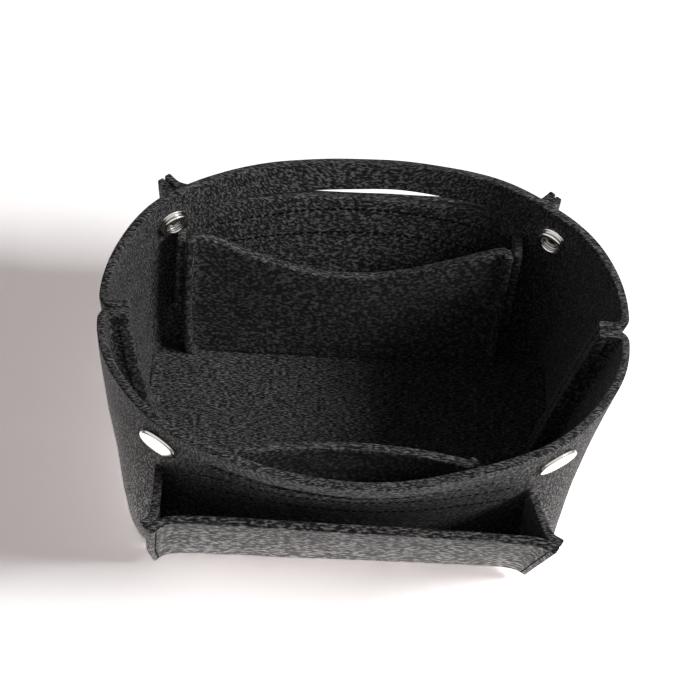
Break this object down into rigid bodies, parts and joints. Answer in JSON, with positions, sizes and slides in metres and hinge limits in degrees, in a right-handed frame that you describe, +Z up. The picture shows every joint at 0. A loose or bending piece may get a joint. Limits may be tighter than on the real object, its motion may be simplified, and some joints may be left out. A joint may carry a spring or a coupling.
{
  "type": "felt purse organizer insert",
  "caption": "Open felt tub that stands inside a handbag, with inner and outer pockets, handle slits, snap fasteners at the corners and ends that fold inward.",
  "frame": {"origin": "middle of the flat bottom, on the surface it stands on", "axes": "+X along the length to the right, +Y towards the back, +Z up; the front pocket faces -Y"},
  "size_m": [0.212, 0.1668, 0.121],
  "materials": {
    "felt": "matte wool-look felt, charcoal melange",
    "snap_metal": "bright nickel plate",
    "spring_wire": "drawn spring wire"
  },
  "bodies": {
    "tub": {"base_panel": "felt", "front_panel": "felt", "back_panel": "felt", "front_outer_pocket_left_gusset": "felt", "front_outer_pocket_right_gusset": "felt", "back_outer_pocket_left_gusset": "felt", "back_outer_pocket_right_gusset": "felt", "back_inner_pocket_left_gusset": "felt", "back_inner_pocket_right_gusset": "felt", "front_inner_pocket_left_gusset": "felt", "front_inner_pocket_right_gusset": "felt", "front_left_snap_cap": "snap_metal", "front_left_snap_stud": "snap_metal", "front_right_snap_cap": "snap_metal", "front_right_snap_stud": "snap_metal", "back_left_snap_cap": "snap_metal", "back_left_snap_socket": "snap_metal", "back_left_snap_spring": "spring_wire", "back_right_snap_cap": "snap_metal", "back_right_snap_socket": "snap_metal", "back_right_snap_spring": "spring_wire"},
    "left_end": {"front_left_wing": "felt", "back_left_wing": "felt"},
    "right_end": {"front_right_wing": "felt", "back_right_wing": "felt"},
    "front_outer_pocket": {"front_outer_pocket_panel": "felt"},
    "back_outer_pocket": {"back_outer_pocket_panel": "felt"},
    "front_inner_pocket": {"front_inner_pocket_panel": "felt"},
    "back_inner_pocket": {"back_inner_pocket_panel": "felt"}
  },
  "joints": [
    {"name": "left_end_fold", "type": "hinge", "parent": "tub", "child": "left_end", "pos_m": [-0.0875, 0, 0.0035], "axis": [0, 1, 0], "range_deg": [0, 25]},
    {"name": "right_end_fold", "type": "hinge", "parent": "tub", "child": "right_end", "pos_m": [0.0875, 0, 0.0035], "axis": [0, -1, 0], "range_deg": [0, 25]},
    {"name": "front_outer_pocket_close", "type": "hinge", "parent": "tub", "child": "front_outer_pocket", "pos_m": [0, -0.05651, 0.008], "axis": [-1, 0, 0], "range_deg": [0, 4.5], "deforming": ["front_outer_pocket_left_gusset", "front_outer_pocket_right_gusset"]},
    {"name": "back_outer_pocket_close", "type": "hinge", "parent": "tub", "child": "back_outer_pocket", "pos_m": [0, 0.05651, 0.008], "axis": [1, 0, 0], "range_deg": [0, 4.5], "deforming": ["back_outer_pocket_left_gusset", "back_outer_pocket_right_gusset"]},
    {"name": "front_inner_pocket_open", "type": "hinge", "parent": "tub", "child": "front_inner_pocket", "pos_m": [0, -0.04425, 0.0038], "axis": [-1, 0, 0], "range_deg": [0, 3], "deforming": ["front_inner_pocket_left_gusset", "front_inner_pocket_right_gusset"]},
    {"name": "back_inner_pocket_close", "type": "hinge", "parent": "tub", "child": "back_inner_pocket", "pos_m": [0, 0.04425, 0.0038], "axis": [-1, 0, 0], "range_deg": [0, 3], "deforming": ["back_inner_pocket_left_gusset", "back_inner_pocket_right_gusset"]}
  ]
}
